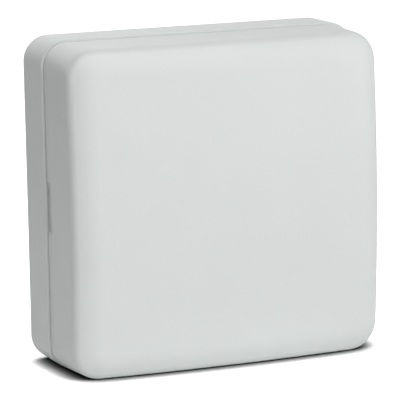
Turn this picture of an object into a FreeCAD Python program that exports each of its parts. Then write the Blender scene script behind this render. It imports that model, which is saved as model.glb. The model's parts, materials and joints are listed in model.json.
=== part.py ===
# Acoustic glass break sensor: a wall box of two shells with a circuit board, a microphone,
# tamper switches and one cylindrical cell inside.
# Millimetres. +X is right, +Y is back towards the wall, +Z is up. The origin is at the middle of
# the footprint, on the lower edge that the box stands on.

import FreeCAD, Part
import math
import os

V = FreeCAD.Vector

# Case
case_width = 88.0
case_height = 86.0
case_depth = 35.5        # from the wall to the middle of the crowned front
rear_shell_depth = 13.8
front_crown = 2.2        # how far the front falls back from its middle to the middle of a side
wall = 2.0
rear_wall = 2.0
front_wall = 2.2
rear_corner_radius = 6.6
front_corner_radius = 8.2
cover_cavity_radius = 7.0
cavity_edge_radius = 1.8
rear_rim_chamfer = 0.3
cover_set_in = 0.6       # the cover's rim lies this far inside the rear outline
cover_draw_in = 0.2      # and its front this much further
edge_depth = 1.8         # of the soft front edge, measured along the sides
edge_width = 4.5         # and across the front
edge_outer_radius = 2.8
edge_inner_radius = 12.0

# Clearances
part_gap = 0.3           # between pieces that move apart
running_fit = 0.08       # radial, round a plunger or a button in its guide
snug_fit = 0.05          # between fixed pieces that nest
overcut = 1.0            # how far a cutting shape stands past the face that it opens

# Seam between the shells
seam_gap = 0.35
seam_bevel = 0.2
lip_thickness = 1.2
lip_reach = 2.0          # in front of the seam
lip_root = 2.4           # behind the seam
slot_height = 13.3
slot_depth = 2.7         # in front of the cover's rim
slot_recess = 0.8        # how deep the slot is in the cover's outer face
slot_throat = 1.2        # the part of it that goes right through, next to the rim

# Snap arms of the cover
arm_width = 7.0
arm_thickness = 1.4
arm_pitch = 48.0
barb_height = 0.9
barb_length = 1.6

# Ribs inside the cover that keep the cell in its holder
cell_rib_pitch = 16.0
cell_rib_thickness = 1.2
cell_rib_height = 12.0

# Holes for the two wall screws
wall_hole_radius = 2.2
wall_hole_inset = 8.0    # from the edge of the case
wall_boss_radius = 4.4
wall_boss_height = 1.2
screwdriver_radius = 5.5

# Circuit board and what carries it
board_margin = 5.0       # from the edge of the case to the edge of the board
board_thickness = 1.6
board_corner_radius = 3.0
board_standoff = 5.0
board_hole_radius = 1.3
board_hole_inset = 5.0   # from the edges of the board
post_radius = 2.8
peg_radius = 1.2
peg_stand = 0.7
screw_radius = 1.1
screw_length = 6.0
screw_head_radius = 2.3
screw_head_height = 1.5
screw_slot_width = 0.6
screw_slot_depth = 0.7

# Cell and its holder
cell_radius = 8.5
cell_length = 34.5
cell_cap_radius = 3.2
cell_cap_height = 1.0
cell_seal_radius = 5.6
cell_rim_radius = 0.8
cell_x = 4.0
cell_rise = 20.2         # above the lower edge of the board
cell_rib_gap = 0.9       # between the cell and the ribs of the cover
holder_floor = 1.0
holder_wall = 1.3
holder_height = 11.5
holder_end = 1.6
finger_notch_width = 15.0
finger_notch_depth = 5.0
coil_space = 4.6
leaf_space = 1.8
coil_wire_radius = 0.35
coil_turns = 3
coil_base_radius = 5.0
coil_tip_radius = 2.6
contact_plate = 0.4
contact_width = 11.0
contact_height = 11.0
leaf_bow = 0.7

# Microphone
capsule_radius = 4.85
capsule_length = 5.2
capsule_edge_radius = 0.4
felt_radius = 3.9
felt_thickness = 0.4
boot_wall = 1.3
boot_length = 6.4
boot_lip = 0.7
boot_foot_width = 8.0
boot_foot_height = 1.1
microphone_inset = 5.5   # from the outside of the case to the felt
microphone_pin_radius = 0.25
microphone_pin_pitch = 2.54
microphone_pin_bend = 1.0

# Tamper switches
plunger_radius = 1.5
collar_radius = 2.2
collar_thickness = 0.6
tamper_width = 8.0
tamper_skin = 0.6
tamper_pocket_radius = 2.6
tamper_play = 0.1
tamper_corner_radius = 0.6
tamper_wire_radius = 0.12
tamper_coil_turns = 3
tamper_coil_radius = 1.8
wall_tamper_x = -13.0
wall_tamper_rise = 9.0   # above mid-height
wall_tamper_height = 4.5
wall_tamper_travel = 1.0 # the plunger stands out behind the wall plane by as much
cover_tamper_from_right = 19.0
cover_tamper_from_top = 14.5
cover_tamper_height = 6.0
cover_tamper_travel = 1.2
cover_tamper_stand = 1.5
press_post_radius = 2.4
press_post_rib = 1.2
press_post_rib_reach = 3.6

# Enrol button
enrol_from_right = 6.5
enrol_rise = 19.0
enrol_width = 6.2
enrol_height = 3.4
enrol_frame = 0.3
enrol_button_radius = 1.7
enrol_button_stand = 1.6
enrol_travel = 0.25
enrol_button_root = 1.2

# Sensitivity switch
selector_from_right = 7.0
selector_rise = 33.5
selector_width = 9.0
selector_depth = 4.4
selector_height = 3.6
selector_skin = 0.7
selector_knob = 1.6
selector_knob_stand = 2.0
selector_base_width = 4.0
selector_base_height = 1.0
selector_travel = 2.0

# Lamps
led_radius = 1.5
led_height = 4.6
led_flange_radius = 1.9
led_flange_height = 0.9
led_from_right = 15.0    # to the last of the row
led_from_top = 6.5
led_pitch = 6.0

# Radio
radio_from_left = 20.5
radio_from_top = 16.0
radio_width = 17.0
radio_length = 20.0
radio_board_thickness = 1.0
shield_margin = 1.4
shield_height = 2.4
shield_corner_radius = 0.5
shield_hole_radius = 0.5
shield_hole_pitch = 3.0
shield_hole_columns = 3
shield_hole_rows = 5
antenna_from_right = 5.0
antenna_rise = 2.0       # above mid-height
antenna_radius = 2.6
antenna_wire_radius = 0.4
antenna_pitch = 2.0
antenna_turns = 12
antenna_stand = 1.2      # between the coil and the board

# Chips with gull-wing leads
lead_width = 0.35
lead_thickness = 0.15
lead_reach = 1.0
lead_foot = 0.5
lead_drop = 0.75         # height at which a lead leaves its chip
chip_stand = 0.1
controller_x = 3.0
controller_rise = 5.0    # above mid-height
controller_width = 7.0
controller_height = 1.5
controller_leads_per_side = 8
controller_lead_pitch = 0.8
amplifier_from_left = 19.0
amplifier_rise = 1.5     # above mid-height
amplifier_width = 3.9
amplifier_length = 4.9
amplifier_height = 1.5
amplifier_leads_per_side = 4
amplifier_lead_pitch = 1.27

# Small parts on the board
crystal_x = 17.5
crystal_rise = 4.0       # above mid-height
crystal_width = 4.7
crystal_length = 11.0
crystal_corner_radius = 2.3
crystal_height = 3.5
can_radius = 3.1
can_height = 5.4
can_base_width = 6.6
can_base_height = 0.9
can_base_chamfer = 1.2
can_edge_radius = 0.5
can_from_left = 6.0
can_rise = 16.0
can_pitch = 7.0
chip_length = 2.0
chip_width = 1.25
chip_pitch = 4.0
resistor_height = 0.5
resistor_x = -4.0
resistor_rise = 12.0     # above mid-height
resistor_count = 8
capacitor_height = 0.9
capacitor_x = -13.0
capacitor_gap = 2.0      # above the cell holder
capacitor_count = 7

# Test header and its jumper
pin_pitch = 2.54
pin_count = 3
pin_width = 0.64
pin_stand = 6.0
header_from_left = 9.5
header_rise = 9.0
header_height = 2.5
jumper_height = 6.6
jumper_wall = 0.7
jumper_seat = 0.3
jumper_hole_fit = 0.12
jumper_tab_width = 1.4
jumper_tab_height = 1.0

# Sizes and places that follow from those above
wall_y = (case_depth - wall_tamper_travel) / 2
front_y = wall_y - case_depth
seam_y = wall_y - rear_shell_depth
rim_y = seam_y - seam_gap
rear_inside_y = wall_y - rear_wall
crown_radius = ((case_width / 2) ** 2 + front_crown ** 2) / (2 * front_crown)
board_back_y = rear_inside_y - board_standoff
board_face_y = board_back_y - board_thickness
middle_z = case_height / 2
lip_inset = wall + part_gap
lip_inside = lip_inset + lip_thickness
lip_corner_radius = cover_cavity_radius - part_gap
board_width = case_width - 2 * board_margin
board_height = case_height - 2 * board_margin
board_left = -board_width / 2
board_right = board_width / 2
board_low = middle_z - board_height / 2
board_top = middle_z + board_height / 2
board_hole_pitch_x = board_width - 2 * board_hole_inset
board_hole_pitch_z = board_height - 2 * board_hole_inset
wall_hole_pitch = case_height - 2 * wall_hole_inset
cell_y = board_face_y - holder_floor - part_gap - cell_radius
cell_z = board_low + cell_rise
holder_top_z = cell_z + cell_radius + part_gap + holder_wall
boot_radius = capsule_radius + boot_wall
microphone_y = board_face_y - boot_foot_height - boot_radius
wall_tamper_z = middle_z + wall_tamper_rise
cover_tamper_x = board_right - cover_tamper_from_right
cover_tamper_z = board_top - cover_tamper_from_top
enrol_x = board_right - enrol_from_right
enrol_z = board_low + enrol_rise
selector_x = board_right - selector_from_right
selector_z = board_low + selector_rise
led_x = board_right - led_from_right
led_z = board_top - led_from_top
radio_x = board_left + radio_from_left
radio_z = board_top - radio_from_top
antenna_x = board_right - antenna_from_right
antenna_z = middle_z + antenna_rise
controller_z = middle_z + controller_rise
amplifier_x = board_left + amplifier_from_left
amplifier_z = middle_z + amplifier_rise
crystal_z = middle_z + crystal_rise
can_x = board_left + can_from_left
can_z = board_low + can_rise
resistor_z = middle_z + resistor_rise
capacitor_z = holder_top_z + capacitor_gap
header_x = board_left + header_from_left
header_z = board_low + header_rise

parts = {}


def keep(name, *solids):
    """Files one solid, or several like fasteners, under one name."""
    parts[name] = solids[0] if len(solids) == 1 else Part.makeCompound(list(solids))


def box(x0, x1, y0, y1, z0, z1):
    return Part.makeBox(x1 - x0, y1 - y0, z1 - z0, V(x0, y0, z0))


def rod(x, z, radius, y0, y1):
    """A round bar along Y between two depths."""
    return Part.makeCylinder(radius, abs(y1 - y0), V(x, min(y0, y1), z), V(0, 1, 0))


def edges_along_y(solid):
    small = 1e-4
    return [e for e in solid.Edges if e.BoundBox.XLength < small and e.BoundBox.ZLength < small]


def edges_at_y(solid, y):
    small = 1e-4
    return [e for e in solid.Edges if abs(e.BoundBox.YMin - y) < small and abs(e.BoundBox.YMax - y) < small]


def plate(x, z, width, height, y0, y1, corner_radius):
    """A block centred on x and z, with its corners rounded about Y."""
    low, high = min(y0, y1), max(y0, y1)
    solid = box(x - width / 2, x + width / 2, low, high, z - height / 2, z + height / 2)
    if corner_radius <= 0:
        return solid
    return solid.makeFillet(corner_radius, edges_along_y(solid))


def case_block(inset, corner_radius, y0, y1):
    """The case's outline, drawn in all round by inset."""
    return plate(0, middle_z, case_width - 2 * inset, case_height - 2 * inset, y0, y1, corner_radius)


def crown_ball(inset):
    """The ball whose nearest side is the crowned front, or the inside of a wall that thick."""
    return Part.makeSphere(crown_radius - inset, V(0, front_y + crown_radius, middle_z))


def crown_at(x, z, inset):
    """How far forward the crowned ball reaches at a place."""
    across = math.hypot(x, z - middle_z)
    return front_y + crown_radius - math.sqrt((crown_radius - inset) ** 2 - across ** 2)


def on_board(x, z, width, height, rise, base=0.0, corner_radius=0.0):
    """A block that stands on the front of the board."""
    foot = board_face_y - base
    return plate(x, z, width, height, foot, foot - rise, corner_radius)


def at_four_corners(pitch_x, pitch_z):
    return [(sx * pitch_x / 2, middle_z + sz * pitch_z / 2) for sx in (-1, 1) for sz in (-1, 1)]


def is_screw_corner(x, z):
    """Screws hold two opposite corners of the board, and pegs place the other two."""
    return (x > 0) != (z > middle_z)


def corner_arc(start, knee, end):
    """The arc that touches both legs of a knee whose legs are alike."""
    chord_middle = (start + end) * 0.5
    half_chord = (end - start).Length / 2
    rise = knee - chord_middle
    if rise.Length < 1e-7:
        return Part.LineSegment(start, end).toShape()
    sag = half_chord * math.tan(math.atan2(rise.Length, half_chord) / 2)
    return Part.Arc(start, chord_middle + rise.normalize() * sag, end).toShape()


def biarc(start, start_way, end, end_way):
    """Two arcs that leave start along one direction and reach end along the other."""
    across = end - start
    turn = 2 * (1 - start_way.dot(end_way))
    along = across.dot(start_way + end_way)
    leg = (math.sqrt(along ** 2 + turn * across.dot(across)) - along) / turn
    first_knee = start + start_way * leg
    last_knee = end - end_way * leg
    middle = (first_knee + last_knee) * 0.5
    return [corner_arc(start, first_knee, middle), corner_arc(middle, last_knee, end)]


def spiral_at(share, turns, base_radius, tip_radius, length):
    """The point and direction at a share of a coil that climbs along Z from the origin."""
    angle = 2 * math.pi * turns * share
    radius = base_radius + (tip_radius - base_radius) * share
    outward = V(math.cos(angle), math.sin(angle), 0)
    onward = V(-math.sin(angle), math.cos(angle), 0)
    point = outward * radius + V(0, 0, length * share)
    way = onward * (2 * math.pi * turns * radius) + outward * (tip_radius - base_radius) + V(0, 0, length)
    return point, way.normalize()


def least_gap(points, skip, wire_radius):
    """The least space between turns, measured on points along the wire."""
    nearest = min(
        (points[i] - points[j]).Length for i in range(len(points)) for j in range(i + skip, len(points))
    )
    return nearest - 2 * wire_radius


def coil(name, turns, base_radius, tip_radius, length, wire_radius, foot=0.0):
    """One unbroken wire wound along Z, with a straight foot of the given length before it."""
    quarters = 4 * turns
    stops = [spiral_at(i / quarters, turns, base_radius, tip_radius, length) for i in range(quarters + 1)]
    edges = []
    if foot > 0:
        bend = 2 * wire_radius
        lead_way = V(0, 1, 0)
        lead_end = stops[0][0] - lead_way * bend
        edges.append(Part.LineSegment(lead_end - lead_way * (foot - bend), lead_end).toShape())
        edges += biarc(lead_end, lead_way, *stops[0])
    for before, after in zip(stops, stops[1:]):
        edges += biarc(*before, *after)
    path = Part.Wire(edges)
    first = edges[0]
    start = first.valueAt(first.FirstParameter)
    way = first.tangentAt(first.FirstParameter)
    section = Part.Wire(Part.makeCircle(wire_radius, start, way))
    tube = path.makePipeShell([section], True, False)
    per_turn = 24
    count = per_turn * turns
    points = [spiral_at(i / count, turns, base_radius, tip_radius, length)[0] for i in range(count + 1)]
    gap = least_gap(points, per_turn // 2, wire_radius)
    ideal = math.pi * wire_radius ** 2 * path.Length
    print(f"{name}: least gap {gap:.2f} mm, volume {tube.Volume:.3f} of {ideal:.3f} mm3")
    return tube


def turned(solid, axis, degrees, place):
    """A copy turned about the origin and then moved."""
    copy = solid.copy()
    copy.Placement = FreeCAD.Placement(place, FreeCAD.Rotation(axis, degrees)).multiply(copy.Placement)
    return copy


def rear_shell():
    shell = case_block(0, rear_corner_radius, seam_y, wall_y)
    shell = shell.makeChamfer(seam_bevel, edges_at_y(shell, seam_y))
    shell = shell.makeChamfer(rear_rim_chamfer, edges_at_y(shell, wall_y))
    shell = shell.fuse(case_block(lip_inset, lip_corner_radius, seam_y - lip_reach, seam_y + wall))
    mouth = case_block(lip_inside, lip_corner_radius - lip_thickness, seam_y - 2 * lip_reach, rear_inside_y)
    hollow = case_block(wall, rear_corner_radius - wall, seam_y + lip_root, rear_inside_y)
    shell = shell.cut([mouth, hollow])
    for x, z in at_four_corners(board_hole_pitch_x, board_hole_pitch_z):
        shell = shell.fuse(rod(x, z, post_radius, board_back_y, rear_inside_y + rear_wall / 2))
        if is_screw_corner(x, z):
            shell = shell.cut(rod(x, z, screw_radius + snug_fit, board_back_y - overcut, rear_inside_y))
        else:
            shell = shell.fuse(rod(x, z, peg_radius, board_face_y - peg_stand, board_back_y + overcut))
    for side in (-1, 1):
        z = middle_z + side * wall_hole_pitch / 2
        shell = shell.fuse(rod(0, z, wall_boss_radius, rear_inside_y - wall_boss_height, rear_inside_y + overcut))
        shell = shell.cut(rod(0, z, wall_hole_radius, rear_inside_y - 2 * wall_boss_height, wall_y + overcut))
    tamper_hole = rod(wall_tamper_x, wall_tamper_z, plunger_radius + part_gap, rear_inside_y - overcut, wall_y + overcut)
    left = -case_width / 2 + wall
    sound_window = box(
        left, left + part_gap + 2 * lip_thickness, seam_y - 2 * lip_reach, seam_y,
        middle_z - slot_height / 2, middle_z + slot_height / 2,
    )
    keep("rear_shell", shell.cut([tamper_hole, sound_window]).removeSplitter())


def cover_outline(y, inset):
    """A rectangle whose sides and top are set in; its lower edge stays on the ground."""
    half = case_width / 2 - inset
    top = case_height - inset
    return Part.makePolygon([V(-half, y, 0), V(half, y, 0), V(half, y, top), V(-half, y, top), V(-half, y, 0)])


def snap_arm(x, side):
    """One arm that reaches back behind the lip, with a barb that faces the case wall."""
    nose = case_height / 2 - lip_inside - part_gap
    outer = nose - barb_height
    inner = outer - arm_thickness
    catch_y = seam_y + lip_root + part_gap
    end_y = catch_y + barb_length
    root_y = crown_at(x, middle_z + side * outer, front_wall / 2)
    profile = [
        (root_y, inner), (end_y, inner), (end_y, outer), (catch_y + barb_length / 4, nose), (catch_y, nose),
        (catch_y, outer), (root_y, outer),
    ]
    corners = [V(x - arm_width / 2, y, middle_z + side * z) for y, z in profile]
    return Part.Face(Part.makePolygon(corners + corners[:1])).extrude(V(arm_width, 0, 0))


def cell_ribs():
    """Two saddles that stand over the cell."""
    root_y = crown_at(cell_x, cell_z, front_wall / 2)
    saddle = Part.makeCylinder(
        cell_radius + cell_rib_gap, cell_length, V(cell_x - cell_length / 2, cell_y, cell_z), V(1, 0, 0)
    )
    return [
        plate(
            cell_x + side * cell_rib_pitch / 2, cell_z, cell_rib_thickness, cell_rib_height, root_y,
            cell_y - cell_radius / 2, 0,
        ).cut(saddle)
        for side in (-1, 1)
    ]


def press_post():
    """The post that holds the cover tamper down, with a cross of ribs at its root."""
    root_y = crown_at(cover_tamper_x, cover_tamper_z, front_wall / 2)
    tip_y = board_face_y - cover_tamper_height - cover_tamper_stand - part_gap
    post = rod(cover_tamper_x, cover_tamper_z, press_post_radius, root_y, tip_y)
    rib_end = (root_y + tip_y) / 2
    reach = 2 * (press_post_radius + press_post_rib_reach)
    rib_x = plate(cover_tamper_x, cover_tamper_z, reach, press_post_rib, root_y, rib_end, 0)
    rib_z = plate(cover_tamper_x, cover_tamper_z, press_post_rib, reach, root_y, rib_end, 0)
    return [post, rib_x, rib_z]


def crown_face(solid):
    balls = [face for face in solid.Faces if isinstance(face.Surface, Part.Sphere)]
    return max(balls, key=lambda face: face.Area)


def times_used(edge, faces):
    return sum(any(edge.isSame(other) for other in face.Edges) for face in faces)


def soft_edge(cover):
    """A shallow bevel round the crowned front, with both of its own edges rounded."""
    cover = cover.makeChamfer(edge_depth, edge_width, crown_face(cover).Edges)
    crown = crown_face(cover)
    bevel = [
        face for face in cover.Faces
        if not face.isSame(crown) and any(times_used(edge, [crown]) for edge in face.Edges)
    ]
    outer = [edge for face in bevel for edge in face.Edges if times_used(edge, bevel + [crown]) == 1]
    cover = cover.makeFillet(edge_outer_radius, outer)
    return cover.makeFillet(edge_inner_radius, crown_face(cover).Edges)


def front_cover():
    front_in = cover_set_in + cover_draw_in
    cover = Part.makeLoft([cover_outline(rim_y, cover_set_in), cover_outline(front_y, front_in)], True, True)
    corners = [e for e in cover.Edges if e.BoundBox.YLength > (rim_y - front_y) / 2]
    cover = cover.makeFillet(rear_corner_radius - cover_set_in, front_corner_radius, corners)
    cover = soft_edge(cover.common(crown_ball(0)).Solids[0])
    cavity = case_block(wall, cover_cavity_radius, front_y, seam_y + overcut).common(crown_ball(front_wall)).Solids[0]
    cavity = cavity.makeFillet(cavity_edge_radius, crown_face(cavity).Edges)
    left = -case_width / 2 + cover_set_in
    low, high = middle_z - slot_height / 2, middle_z + slot_height / 2
    recess = box(left - overcut, left + slot_recess, rim_y - slot_depth, seam_y + overcut, low, high)
    throat = box(left - overcut, left + 2 * wall, rim_y - slot_throat, seam_y + overcut, low, high)
    cover = cover.cut([cavity, recess, throat])
    arms = [snap_arm(side_x * arm_pitch / 2, side) for side_x in (-1, 1) for side in (-1, 1)]
    keep("front_cover", cover.fuse(arms + cell_ribs() + press_post()).removeSplitter())


def circuit_board():
    board = plate(0, middle_z, board_width, board_height, board_face_y, board_back_y, board_corner_radius)
    holes = [
        rod(x, z, board_hole_radius, board_face_y - overcut, board_back_y + overcut)
        for x, z in at_four_corners(board_hole_pitch_x, board_hole_pitch_z)
    ]
    for side in (-1, 1):
        z = middle_z + side * wall_hole_pitch / 2
        holes.append(rod(0, z, screwdriver_radius, board_face_y - overcut, board_back_y + overcut))
        edge_z = middle_z + side * case_height / 2
        mouth = sorted((z, edge_z))
        holes.append(
            box(-screwdriver_radius, screwdriver_radius, board_face_y - overcut, board_back_y + overcut, *mouth)
        )
    keep("circuit_board", board.cut(holes))


def board_screws():
    screws = []
    for x, z in at_four_corners(board_hole_pitch_x, board_hole_pitch_z):
        if not is_screw_corner(x, z):
            continue
        head_top = board_face_y - screw_head_height
        head = rod(x, z, screw_head_radius, head_top, board_face_y)
        head = head.makeFillet(screw_head_height / 2, edges_at_y(head, head_top))
        shank = rod(x, z, screw_radius, board_face_y - screw_head_height / 2, board_face_y + screw_length)
        shank = shank.makeChamfer(screw_radius / 2, edges_at_y(shank, board_face_y + screw_length))
        slots = [
            plate(x, z, long, short, head_top - overcut, head_top + screw_slot_depth, 0)
            for long, short in (
                (screw_head_radius, screw_slot_width),
                (screw_slot_width, screw_head_radius),
            )
        ]
        screws.append(head.fuse(shank).removeSplitter().cut(slots))
    keep("board_screws", *screws)


def cell():
    """A lithium cell that lies along X, with its cap to the right."""
    left = cell_x - cell_length / 2
    right = cell_x + cell_length / 2
    along = V(1, 0, 0)
    seal_thickness = cell_cap_height / 2
    shoulder = right - cell_cap_height
    can = Part.makeCylinder(cell_radius, shoulder - left, V(left, cell_y, cell_z), along)
    rims = [e for e in can.Edges if e.BoundBox.XLength < 1e-4]
    can = can.makeFillet(cell_rim_radius, rims)
    well = Part.makeCylinder(
        cell_seal_radius + snug_fit, seal_thickness, V(shoulder - seal_thickness, cell_y, cell_z), along
    )
    keep("cell_can", can.cut(well))
    seal = Part.makeCylinder(
        cell_seal_radius, seal_thickness, V(shoulder - seal_thickness, cell_y, cell_z), along
    )
    bore = Part.makeCylinder(
        cell_cap_radius + snug_fit, seal_thickness, V(shoulder - seal_thickness, cell_y, cell_z), along
    )
    keep("cell_seal", seal.cut(bore))
    cap_start = shoulder - seal_thickness
    cap = Part.makeCylinder(cell_cap_radius, right - cap_start, V(cap_start, cell_y, cell_z), along)
    nose = [e for e in cap.Edges if e.BoundBox.XMin > right - 1e-4]
    keep("cell_cap", cap.makeFillet(cell_cap_height / 2, nose))


def holder_ends():
    """The inside faces of the holder's two end walls."""
    return cell_x - cell_length / 2 - coil_space, cell_x + cell_length / 2 + leaf_space


def cell_holder():
    left, right = holder_ends()
    half = cell_radius + part_gap + holder_wall
    top = board_face_y - holder_height
    block = box(left - holder_end, right + holder_end, top, board_face_y, cell_z - half, cell_z + half)
    trough_radius = cell_radius + part_gap
    trough = Part.makeCylinder(trough_radius, right - left, V(left, cell_y, cell_z), V(1, 0, 0))
    above = box(left, right, top - overcut, cell_y, cell_z - trough_radius, cell_z + trough_radius)
    notch = box(
        cell_x - finger_notch_width / 2, cell_x + finger_notch_width / 2, top - overcut, top + finger_notch_depth,
        cell_z - half - overcut, cell_z + half + overcut,
    )
    keep("cell_holder", block.cut(trough.fuse(above)).cut(notch).removeSplitter())


def cell_contacts():
    left, right = holder_ends()
    plate_z = (cell_z - contact_width / 2, cell_z + contact_width / 2)
    low = cell_y + contact_height / 2
    top = low - contact_height
    keep("coil_contact_plate", box(left, left + contact_plate, top, low, *plate_z))
    start = left + contact_plate + coil_wire_radius
    end = cell_x - cell_length / 2 - part_gap - coil_wire_radius
    spring = coil(
        "coil_contact", coil_turns, coil_base_radius, coil_tip_radius, end - start, coil_wire_radius
    )
    keep("coil_contact", turned(spring, V(0, 1, 0), 90, V(start, cell_y, cell_z)))
    nose = right - contact_plate - leaf_bow
    bottom_z, top_z = plate_z
    bend = (top_z - bottom_z) / 4
    outline = [
        (right - contact_plate, bottom_z), (right, bottom_z), (right, top_z), (right - contact_plate, top_z),
        (right - contact_plate, top_z - bend), (nose, cell_z + bend / 2), (nose, cell_z - bend / 2),
        (right - contact_plate, bottom_z + bend),
    ]
    corners = [V(x, top, z) for x, z in outline]
    leaf = Part.Face(Part.makePolygon(corners + corners[:1])).extrude(V(0, contact_height, 0))
    keep("leaf_contact", leaf)


def microphone():
    """A capsule in a rubber boot that looks out to the left, at the slot."""
    face_x = -case_width / 2 + microphone_inset
    along = V(1, 0, 0)

    def ring(x0, x1, radius):
        return Part.makeCylinder(radius, x1 - x0, V(x0, microphone_y, middle_z), along)

    capsule_x = face_x + felt_thickness
    keep("microphone_felt", ring(face_x, capsule_x, felt_radius))
    capsule = ring(capsule_x, capsule_x + capsule_length, capsule_radius)
    rims = [e for e in capsule.Edges if e.BoundBox.XLength < 1e-4]
    keep("microphone_capsule", capsule.makeFillet(capsule_edge_radius, rims))
    boot_start = capsule_x - boot_lip
    boot = ring(boot_start, boot_start + boot_length, boot_radius)
    foot = box(
        boot_start, boot_start + boot_length, microphone_y, board_face_y,
        middle_z - boot_foot_width / 2, middle_z + boot_foot_width / 2,
    )
    bore = ring(capsule_x - snug_fit, boot_start + boot_length + overcut, capsule_radius + snug_fit)
    mouth = ring(boot_start - overcut, capsule_x, felt_radius + snug_fit)
    keep("microphone_boot", boot.fuse(foot).removeSplitter().cut(bore.fuse(mouth)))
    pins = []
    for side in (-1, 1):
        z = middle_z + side * microphone_pin_pitch / 2
        start = V(capsule_x + capsule_length, microphone_y, z)
        knee = V(boot_start + boot_length + microphone_pin_bend, microphone_y, z)
        bend_in = knee - V(microphone_pin_bend, 0, 0)
        bend_out = knee + V(0, microphone_pin_bend, 0)
        path = Part.Wire([
            Part.LineSegment(start, bend_in).toShape(),
            corner_arc(bend_in, knee, bend_out),
            Part.LineSegment(bend_out, V(knee.x, board_face_y, z)).toShape(),
        ])
        section = Part.Wire(Part.makeCircle(microphone_pin_radius, start, along))
        pins.append(path.makePipeShell([section], True, False))
    keep("microphone_pins", *pins)


def tamper_switch(name, x, z, base_y, way, height, tip_y, pressed):
    """A sprung plunger in a housing that stands on the board and points along way."""
    top_y = base_y + way * height
    floor_y = base_y + way * tamper_skin
    roof_y = top_y - way * tamper_skin
    housing = plate(x, z, tamper_width, tamper_width, base_y, top_y, tamper_corner_radius)
    pocket = rod(x, z, tamper_pocket_radius, floor_y, roof_y)
    guide = rod(x, z, plunger_radius + running_fit, floor_y, top_y + way)
    keep(name + "_housing", housing.cut(pocket.fuse(guide)))
    collar_top = roof_y - way * (tamper_play + pressed)
    collar_low = collar_top - way * collar_thickness
    shaft = rod(x, z, plunger_radius, collar_low, tip_y)
    shaft = shaft.makeFillet(plunger_radius / 2, edges_at_y(shaft, tip_y))
    keep(name + "_plunger", shaft.fuse(rod(x, z, collar_radius, collar_low, collar_top)).removeSplitter())
    end_gap = tamper_play + tamper_wire_radius
    length = abs(collar_low - floor_y) - 2 * end_gap
    spring = coil(
        name + "_spring", tamper_coil_turns, tamper_coil_radius, tamper_coil_radius, length,
        tamper_wire_radius,
    )
    place = V(x, floor_y + way * end_gap, z)
    keep(name + "_spring", turned(spring, V(1, 0, 0), -90 * way, place))


def enrol_switch():
    top = board_face_y - enrol_height
    body = on_board(enrol_x, enrol_z, enrol_width, enrol_width, enrol_height - enrol_frame)
    guide = rod(
        enrol_x, enrol_z, enrol_button_radius + running_fit, top - overcut,
        top + enrol_button_root + enrol_travel + part_gap,
    )
    keep("enrol_switch_body", body.cut(guide))
    frame = on_board(
        enrol_x, enrol_z, enrol_width, enrol_width, enrol_frame, enrol_height - enrol_frame
    )
    keep("enrol_switch_frame", frame.cut(guide))
    tip = top - enrol_button_stand
    button = rod(enrol_x, enrol_z, enrol_button_radius, tip, top + enrol_button_root)
    keep("enrol_button", button.makeFillet(enrol_button_radius / 4, edges_at_y(button, tip)))


def sensitivity_switch():
    body = on_board(selector_x, selector_z, selector_width, selector_depth, selector_height)
    pocket_width = selector_base_width + selector_travel + 2 * part_gap
    pocket_depth = selector_knob + 2 * part_gap
    pocket = on_board(
        selector_x, selector_z, pocket_width, pocket_depth, selector_height - 2 * selector_skin,
        selector_skin,
    )
    mouth_width = selector_knob + selector_travel + 2 * part_gap
    mouth = on_board(selector_x, selector_z, mouth_width, pocket_depth, selector_height, selector_skin)
    keep("sensitivity_switch_body", body.cut(pocket.fuse(mouth)))
    knob_x = selector_x - selector_travel / 2
    base = on_board(
        knob_x, selector_z, selector_base_width, selector_knob, selector_base_height,
        selector_skin + part_gap,
    )
    knob_height = selector_height + selector_knob_stand - selector_skin - part_gap
    knob = on_board(
        knob_x, selector_z, selector_knob, selector_knob, knob_height, selector_skin + part_gap
    )
    keep("sensitivity_slider", base.fuse(knob).removeSplitter())


def lamp(name, x):
    top = board_face_y - led_height
    dome = Part.makeSphere(led_radius, V(x, top + led_radius, led_z))
    body = rod(x, led_z, led_radius, top + led_radius, board_face_y)
    flange = rod(x, led_z, led_flange_radius, board_face_y - led_flange_height, board_face_y)
    keep(name, dome.fuse([body, flange]).removeSplitter())


def radio():
    keep("radio_board", on_board(radio_x, radio_z, radio_width, radio_length, radio_board_thickness))
    width = radio_width - 2 * shield_margin
    length = radio_length - 2 * shield_margin
    can = on_board(
        radio_x, radio_z, width, length, shield_height, radio_board_thickness, shield_corner_radius
    )
    top = board_face_y - radio_board_thickness - shield_height
    can = can.makeFillet(shield_corner_radius, edges_at_y(can, top))
    holes = [
        rod(
            radio_x + (column - (shield_hole_columns - 1) / 2) * shield_hole_pitch,
            radio_z + (row - (shield_hole_rows - 1) / 2) * shield_hole_pitch,
            shield_hole_radius, top - overcut, top + shield_height / 4,
        )
        for column in range(shield_hole_columns)
        for row in range(shield_hole_rows)
    ]
    keep("radio_shield", can.cut(holes))
    axis_y = board_face_y - antenna_stand - antenna_radius - antenna_wire_radius
    winding = coil(
        "antenna_coil", antenna_turns, antenna_radius, antenna_radius, antenna_turns * antenna_pitch,
        antenna_wire_radius, board_face_y - axis_y,
    )
    keep("antenna_coil", turned(winding, V(0, 0, 1), 180, V(antenna_x, axis_y, antenna_z)))


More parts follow.
